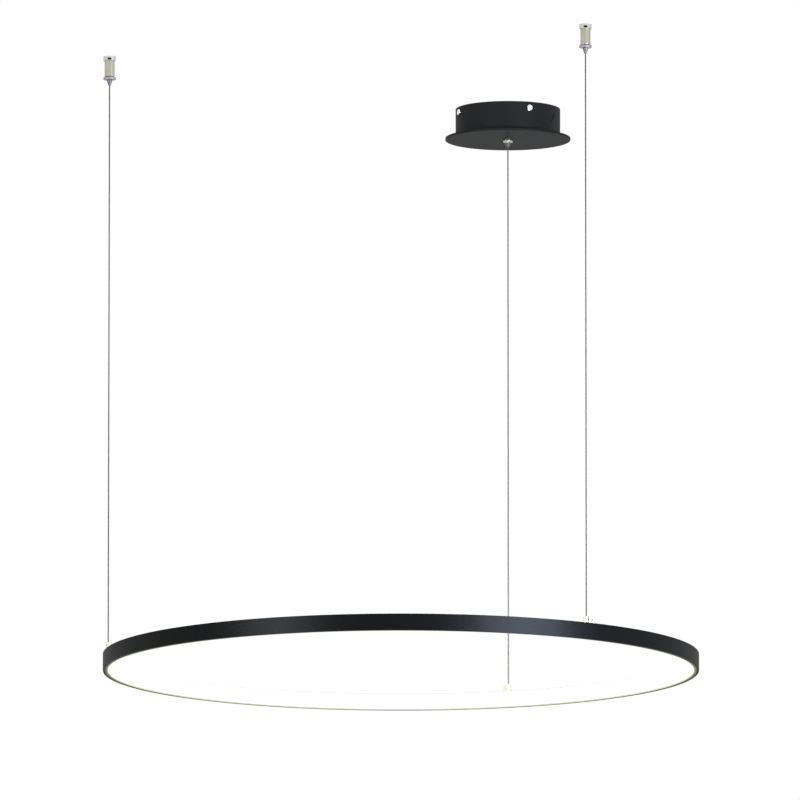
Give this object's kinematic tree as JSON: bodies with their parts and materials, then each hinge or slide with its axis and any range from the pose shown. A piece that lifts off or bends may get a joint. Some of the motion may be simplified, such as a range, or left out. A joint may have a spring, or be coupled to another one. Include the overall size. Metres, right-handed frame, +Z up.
{
  "type": "led ring chandelier",
  "caption": "Slim ring pendant: a black channel with an inward-facing opal diffuser, hung on three cables from two ceiling cable grips and one round canopy.",
  "frame": {"origin": "centre of the canopy bracket's top face, in the ceiling plane and on the feed cable's axis", "axes": "+Z up into the ceiling; the ring hangs below and in front of the canopy, towards -Y, as the picture shows it"},
  "size_m": [0.8003, 0.8535, 0.826],
  "materials": {
    "steel_black": "satin black powder coat",
    "ring_black": "satin black",
    "nickel": "polished nickel",
    "chrome": "bright chrome",
    "zinc_steel": "zinc plated",
    "spring_steel": "drawn wire",
    "brass": "turned",
    "aluminium": "mill finish",
    "cable_steel": "stranded",
    "cable_coated": "clear grey sheath over stranded steel and copper",
    "opal": "opal, lit from behind",
    "board_white": "white solder mask",
    "chip_yellow": "phosphor gel",
    "case_white": "moulded"
  },
  "bodies": {
    "ceiling": {"ceiling_bracket": "zinc_steel", "canopy_nut": "zinc_steel", "driver_case": "case_white", "driver_lid": "case_white", "terminal_block": "case_white", "canopy_drum": "steel_black", "canopy_disc": "steel_black", "side_screws": "chrome", "grip_anchor_1_barrel": "nickel", "grip_anchor_1_spring": "spring_steel", "grip_anchor_2_barrel": "nickel", "grip_anchor_2_spring": "spring_steel", "grip_feed_barrel": "nickel", "grip_feed_spring": "spring_steel", "grip_feed_plug": "brass", "anchor_1_base": "nickel", "anchor_2_base": "nickel", "anchor_1_cable": "cable_steel", "anchor_2_cable": "cable_steel", "feed_cable": "cable_coated"},
    "ring": {"ring_channel": "ring_black", "ring_diffuser": "opal", "led_strip": "board_white", "led_chips": "chip_yellow", "splice_bars": "aluminium", "strip_connector": "case_white", "fitting_anchor_1_body": "nickel", "fitting_anchor_1_tbolt": "zinc_steel", "fitting_anchor_1_stop": "zinc_steel", "fitting_anchor_2_body": "nickel", "fitting_anchor_2_tbolt": "zinc_steel", "fitting_anchor_2_stop": "zinc_steel", "fitting_feed_body": "nickel", "fitting_feed_tbolt": "zinc_steel", "fitting_feed_stop": "zinc_steel"},
    "release_anchor_1": {"grip_anchor_1_release": "nickel"},
    "release_anchor_2": {"grip_anchor_2_release": "nickel"},
    "release_feed": {"grip_feed_release": "nickel", "grip_feed_collet": "brass"}
  },
  "joints": [
    {"name": "height_adjust", "type": "slide", "parent": "ceiling", "child": "ring", "axis": [0, 0, 1], "range_m": [0, 0.4], "deforming": ["anchor_1_cable", "anchor_2_cable", "feed_cable"]},
    {"name": "release_anchor_1", "type": "slide", "parent": "ceiling", "child": "release_anchor_1", "axis": [0, 0, 1], "range_m": [0, 0.0012], "stiffness_N_per_m": 600, "springref_m": -0.002, "deforming": ["grip_anchor_1_spring"]},
    {"name": "release_anchor_2", "type": "slide", "parent": "ceiling", "child": "release_anchor_2", "axis": [0, 0, 1], "range_m": [0, 0.0012], "stiffness_N_per_m": 600, "springref_m": -0.002, "deforming": ["grip_anchor_2_spring"]},
    {"name": "release_feed", "type": "slide", "parent": "ceiling", "child": "release_feed", "axis": [0, 0, 1], "range_m": [0, 0.0012], "stiffness_N_per_m": 600, "springref_m": -0.002, "deforming": ["grip_feed_spring"]}
  ]
}
